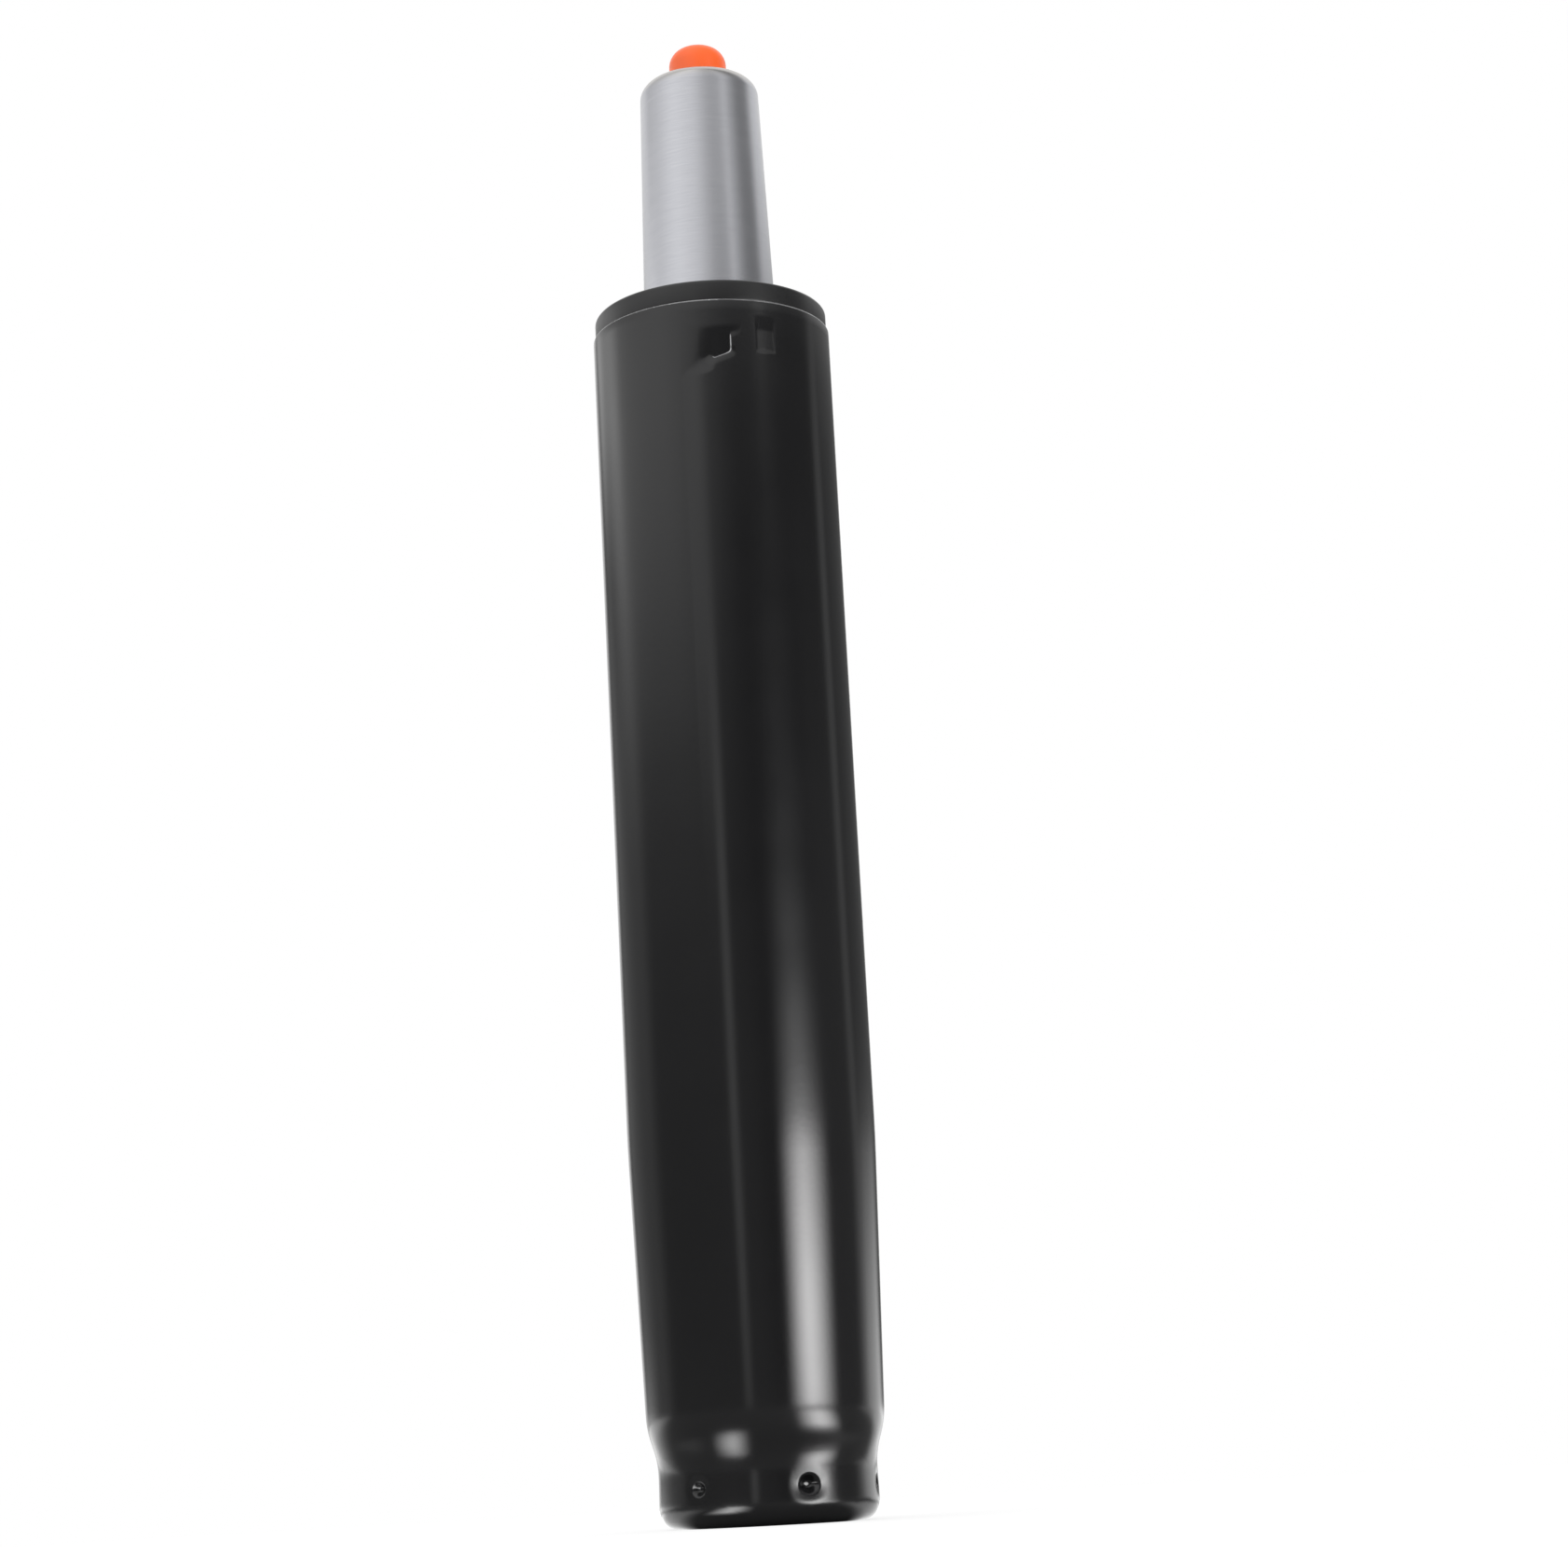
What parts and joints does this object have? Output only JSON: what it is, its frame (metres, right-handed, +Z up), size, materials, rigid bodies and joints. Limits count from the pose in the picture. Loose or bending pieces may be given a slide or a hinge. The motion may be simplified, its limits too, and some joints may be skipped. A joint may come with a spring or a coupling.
{
  "type": "chair gas lift cylinder",
  "caption": "Office chair gas lift: a tapered black stand tube with a sliding, swivelling steel column and a push-button release valve on top.",
  "frame": {"origin": "centre of the foot's resting ring, on the cylinder's axis", "axes": "+Z up along the axis towards the release button; the picture was taken from the -Y side"},
  "size_m": [0.05, 0.05, 0.3125],
  "materials": {
    "black_paint": "semi-gloss black powder paint",
    "black_plastic": "satin black moulded plastic",
    "ground_steel": "satin ground steel, fine lines round the axis",
    "orange_plastic": "bright orange moulded plastic",
    "zinc_steel": "zinc plated steel",
    "bearing_steel": "hardened and ground bearing steel",
    "spring_steel": "dark phosphated spring steel",
    "rod_chrome": "hard chromed rod",
    "cage_nylon": "natural nylon",
    "guide_plastic": "dark grey acetal",
    "buffer_rubber": "black rubber",
    "seal_rubber": "black nitrile rubber",
    "piston_alloy": "turned aluminium",
    "valve_alloy": "turned aluminium",
    "valve_brass": "turned brass"
  },
  "bodies": {
    "stand": {"stand_tube": "black_paint", "guide_bushing": "black_plastic", "bottom_plate": "zinc_steel", "lower_race": "bearing_steel"},
    "cage": {"ball_cage": "cage_nylon", "thrust_balls": "bearing_steel"},
    "rod": {"piston_rod": "rod_chrome", "upper_race": "bearing_steel", "clip_washer": "zinc_steel", "retaining_clip": "spring_steel", "bump_stop": "buffer_rubber", "buffer_washer": "zinc_steel", "piston_lower_washer": "zinc_steel", "piston": "piston_alloy", "piston_seal": "seal_rubber", "piston_upper_washer": "zinc_steel", "piston_nut": "zinc_steel"},
    "column": {"pressure_tube": "ground_steel", "end_washer": "zinc_steel", "rod_guide": "guide_plastic", "rod_seal": "seal_rubber", "seal_washer": "zinc_steel", "cylinder_support": "guide_plastic", "inner_cylinder": "bearing_steel", "valve_body": "valve_alloy", "valve_body_seal": "seal_rubber", "pin_seals": "seal_rubber", "pin_seal_spacer": "valve_brass", "pin_bush": "valve_brass", "valve_cap": "zinc_steel"},
    "release": {"release_button": "orange_plastic", "valve_pin": "bearing_steel", "valve_seat_seal": "seal_rubber"}
  },
  "joints": [
    {"name": "swivel", "type": "hinge", "parent": "stand", "child": "rod", "pos_m": [0, 0, 0], "axis": [0, 0, 1], "continuous": true},
    {"name": "cage_roll", "type": "hinge", "parent": "stand", "child": "cage", "pos_m": [0, 0, 0], "axis": [0, 0, 1], "continuous": true},
    {"name": "height_slide", "type": "slide", "parent": "rod", "child": "column", "axis": [0, 0, 1], "range_m": [0, 0.1]},
    {"name": "button_press", "type": "slide", "parent": "column", "child": "release", "axis": [0, 0, -1], "range_m": [0, 0.004], "stiffness_N_per_m": 4000, "springref_m": -0.003}
  ],
  "couplings": [
    {"joint": "cage_roll", "follows": "swivel", "ratio": 0.5}
  ]
}
